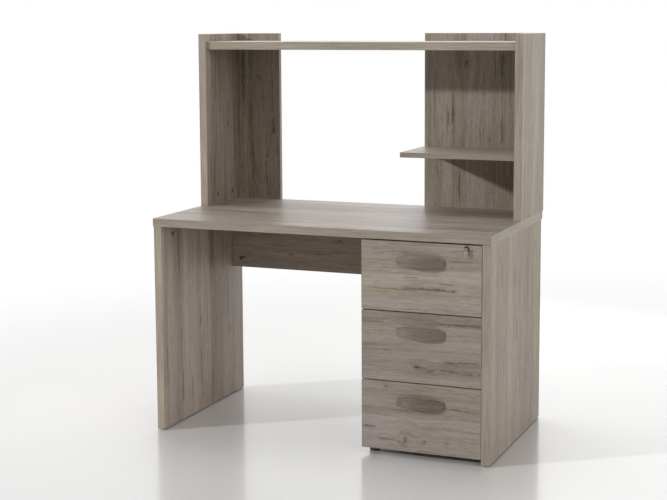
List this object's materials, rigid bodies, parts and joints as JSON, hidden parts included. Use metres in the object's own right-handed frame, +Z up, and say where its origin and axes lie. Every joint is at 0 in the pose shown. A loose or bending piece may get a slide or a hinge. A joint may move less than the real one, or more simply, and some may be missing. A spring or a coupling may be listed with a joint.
{
  "type": "student desk with hutch",
  "caption": "Student desk with a drawer pedestal on the right, a modesty panel and an open shelf hutch on the worktop; roller-slide drawers and a lock in the top one.",
  "frame": {"origin": "on the floor, at the centre of the whole desk's footprint", "axes": "+X to the sitter's right along the worktop, +Y to the wall behind the desk, +Z up"},
  "size_m": [1.21, 0.686, 1.378],
  "materials": {
    "decor_board": "satin",
    "box_board": "satin",
    "hardboard": "matte",
    "handle_decor": "satin",
    "beech": "matte",
    "zinc": "satin",
    "fitting_steel": "satin",
    "runner_steel": "gloss",
    "roller": "matte",
    "glide": "matte",
    "foot": "matte",
    "lock_metal": "polished",
    "key_metal": "satin"
  },
  "bodies": {
    "carcass": {"worktop": "decor_board", "left_side_panel": "decor_board", "right_side_panel": "decor_board", "modesty_panel": "decor_board", "pedestal_side_panel": "decor_board", "pedestal_bottom_panel": "decor_board", "hutch_left_side": "decor_board", "hutch_right_side": "decor_board", "hutch_top_shelf": "decor_board", "hutch_left_back": "decor_board", "hutch_right_back": "decor_board", "hutch_small_shelf": "decor_board", "pedestal_back_panel": "hardboard", "panel_glides": "glide", "pedestal_feet": "foot", "cam_fittings": "zinc", "cam_bolts": "fitting_steel", "dowels": "beech", "lock_strike": "fitting_steel", "bottom_channels": "runner_steel", "middle_channels": "runner_steel", "top_channels": "runner_steel"},
    "bottom_drawer": {"bottom_drawer_front": "decor_board", "bottom_drawer_left_side": "box_board", "bottom_drawer_right_side": "box_board", "bottom_drawer_back": "box_board", "bottom_drawer_bottom": "hardboard", "bottom_drawer_left_rail": "runner_steel", "bottom_drawer_right_rail": "runner_steel", "bottom_drawer_handle": "handle_decor", "bottom_drawer_handle_screws": "fitting_steel"},
    "bottom_channel_rollers": {"bottom_channel_rollers": "roller"},
    "bottom_drawer_rollers": {"bottom_drawer_rollers": "roller"},
    "middle_drawer": {"middle_drawer_front": "decor_board", "middle_drawer_left_side": "box_board", "middle_drawer_right_side": "box_board", "middle_drawer_back": "box_board", "middle_drawer_bottom": "hardboard", "middle_drawer_left_rail": "runner_steel", "middle_drawer_right_rail": "runner_steel", "middle_drawer_handle": "handle_decor", "middle_drawer_handle_screws": "fitting_steel"},
    "middle_channel_rollers": {"middle_channel_rollers": "roller"},
    "middle_drawer_rollers": {"middle_drawer_rollers": "roller"},
    "top_drawer": {"top_drawer_front": "decor_board", "top_drawer_left_side": "box_board", "top_drawer_right_side": "box_board", "top_drawer_back": "box_board", "top_drawer_bottom": "hardboard", "top_drawer_left_rail": "runner_steel", "top_drawer_right_rail": "runner_steel", "top_drawer_handle": "handle_decor", "top_drawer_handle_screws": "fitting_steel", "lock_case": "lock_metal"},
    "top_channel_rollers": {"top_channel_rollers": "roller"},
    "top_drawer_rollers": {"top_drawer_rollers": "roller"},
    "lock": {"lock_plug": "lock_metal", "lock_lever": "fitting_steel", "key_blade": "key_metal"},
    "key_bow": {"key_bow": "key_metal"}
  },
  "joints": [
    {"name": "bottom_drawer_slide", "type": "slide", "parent": "carcass", "child": "bottom_drawer", "axis": [0, -1, 0], "range_m": [0, 0.36]},
    {"name": "bottom_channel_rollers_spin", "type": "hinge", "parent": "carcass", "child": "bottom_channel_rollers", "pos_m": [0.3795, -0.279, 0.0708], "axis": [1, 0, 0], "range_deg": [0, 2080]},
    {"name": "bottom_drawer_rollers_spin", "type": "hinge", "parent": "bottom_drawer", "child": "bottom_drawer_rollers", "pos_m": [0.3795, 0.185, 0.0735], "axis": [1, 0, 0], "range_deg": [0, 2080]},
    {"name": "middle_drawer_slide", "type": "slide", "parent": "carcass", "child": "middle_drawer", "axis": [0, -1, 0], "range_m": [0, 0.36]},
    {"name": "middle_channel_rollers_spin", "type": "hinge", "parent": "carcass", "child": "middle_channel_rollers", "pos_m": [0.3795, -0.279, 0.3038], "axis": [1, 0, 0], "range_deg": [0, 2080]},
    {"name": "middle_drawer_rollers_spin", "type": "hinge", "parent": "middle_drawer", "child": "middle_drawer_rollers", "pos_m": [0.3795, 0.185, 0.3065], "axis": [1, 0, 0], "range_deg": [0, 2080]},
    {"name": "top_drawer_slide", "type": "slide", "parent": "carcass", "child": "top_drawer", "axis": [0, -1, 0], "range_m": [0, 0.36]},
    {"name": "top_channel_rollers_spin", "type": "hinge", "parent": "carcass", "child": "top_channel_rollers", "pos_m": [0.3795, -0.279, 0.5368], "axis": [1, 0, 0], "range_deg": [0, 2080]},
    {"name": "top_drawer_rollers_spin", "type": "hinge", "parent": "top_drawer", "child": "top_drawer_rollers", "pos_m": [0.3795, 0.185, 0.5395], "axis": [1, 0, 0], "range_deg": [0, 2080]},
    {"name": "lock_turn", "type": "hinge", "parent": "top_drawer", "child": "lock", "pos_m": [0.523, -0.318, 0.706], "axis": [0, 1, 0], "range_deg": [0, 90]},
    {"name": "key_bow_fold", "type": "hinge", "parent": "lock", "child": "key_bow", "pos_m": [0.523, -0.325, 0.706], "axis": [-1, 0, 0], "range_deg": [-15, 180]}
  ],
  "couplings": [
    {"joint": "bottom_channel_rollers_spin", "follows": "bottom_drawer_slide", "rad_per_m": 100},
    {"joint": "bottom_drawer_rollers_spin", "follows": "bottom_drawer_slide", "rad_per_m": 100},
    {"joint": "middle_channel_rollers_spin", "follows": "middle_drawer_slide", "rad_per_m": 100},
    {"joint": "middle_drawer_rollers_spin", "follows": "middle_drawer_slide", "rad_per_m": 100},
    {"joint": "top_channel_rollers_spin", "follows": "top_drawer_slide", "rad_per_m": 100},
    {"joint": "top_drawer_rollers_spin", "follows": "top_drawer_slide", "rad_per_m": 100}
  ]
}
